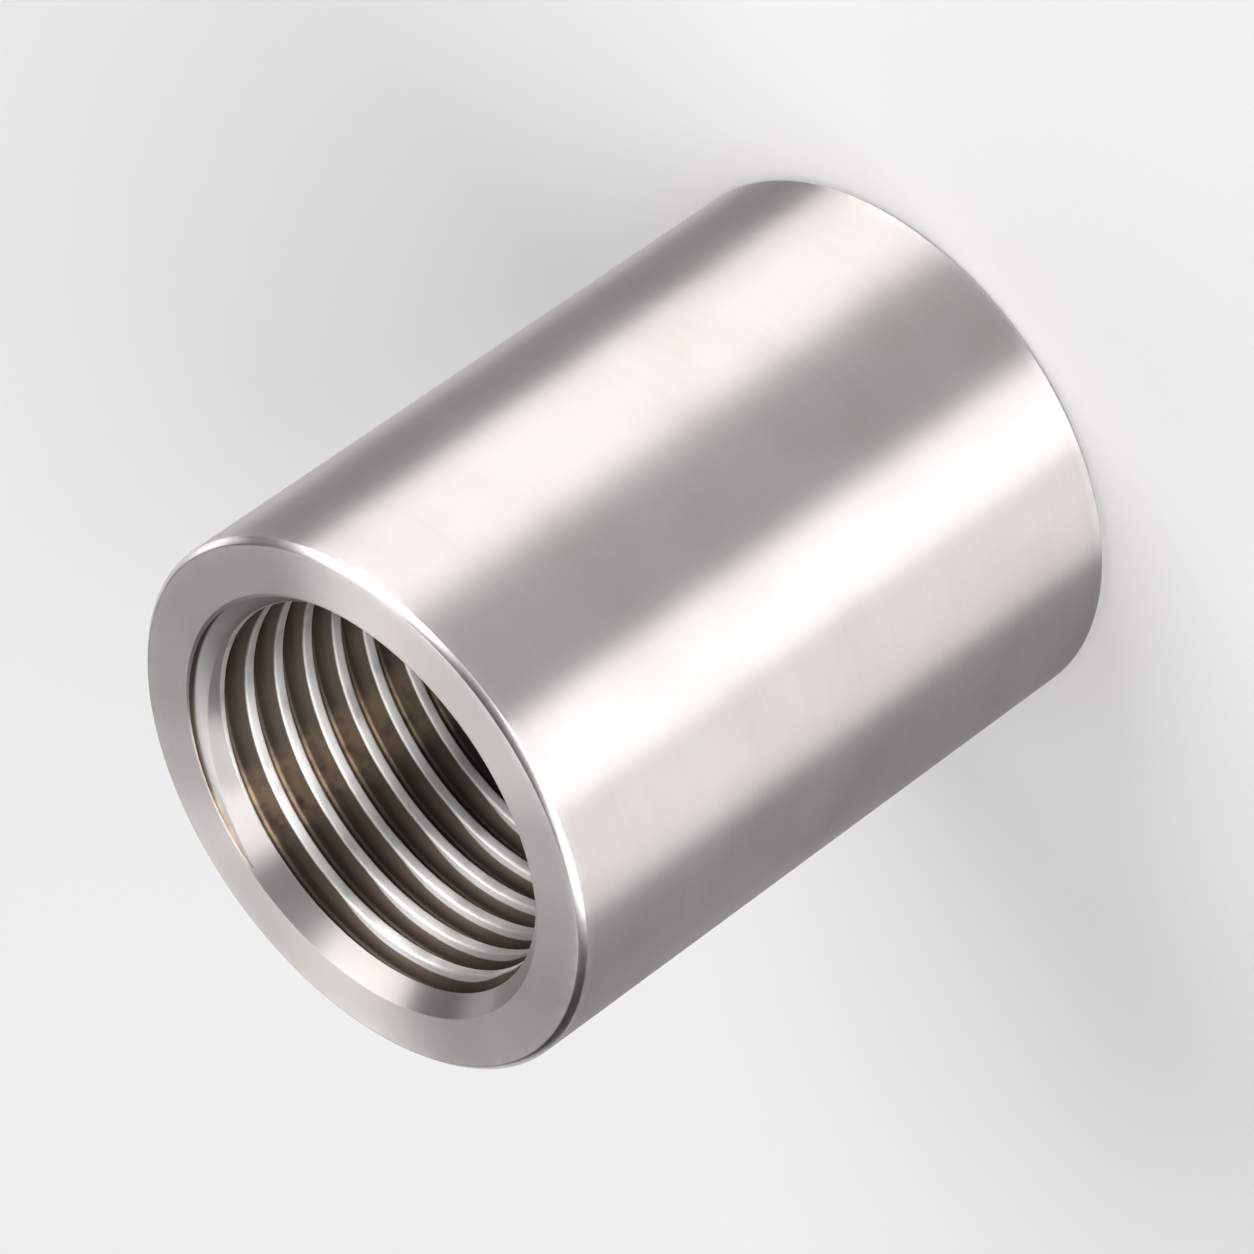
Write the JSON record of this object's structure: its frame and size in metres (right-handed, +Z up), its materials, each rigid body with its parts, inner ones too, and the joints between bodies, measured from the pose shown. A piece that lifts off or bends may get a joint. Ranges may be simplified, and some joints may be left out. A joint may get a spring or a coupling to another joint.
{
  "type": "pipe socket",
  "caption": "Short straight pipe socket: a plain turned steel sleeve with a pipe thread right through it and countersunk mouths, for joining threaded pipes end to end.",
  "frame": {"origin": "centre of the lower end face, the end that the socket stands on", "axes": "+Z up the socket's axis, from the lower end face to the upper one; X and Y are free, because the socket is round"},
  "size_m": [0.0264, 0.0264, 0.034],
  "materials": {
    "turned_steel": "bright turned stainless steel with fine circular tool marks"
  },
  "bodies": {
    "root": {"socket": "turned_steel"}
  },
  "joints": []
}
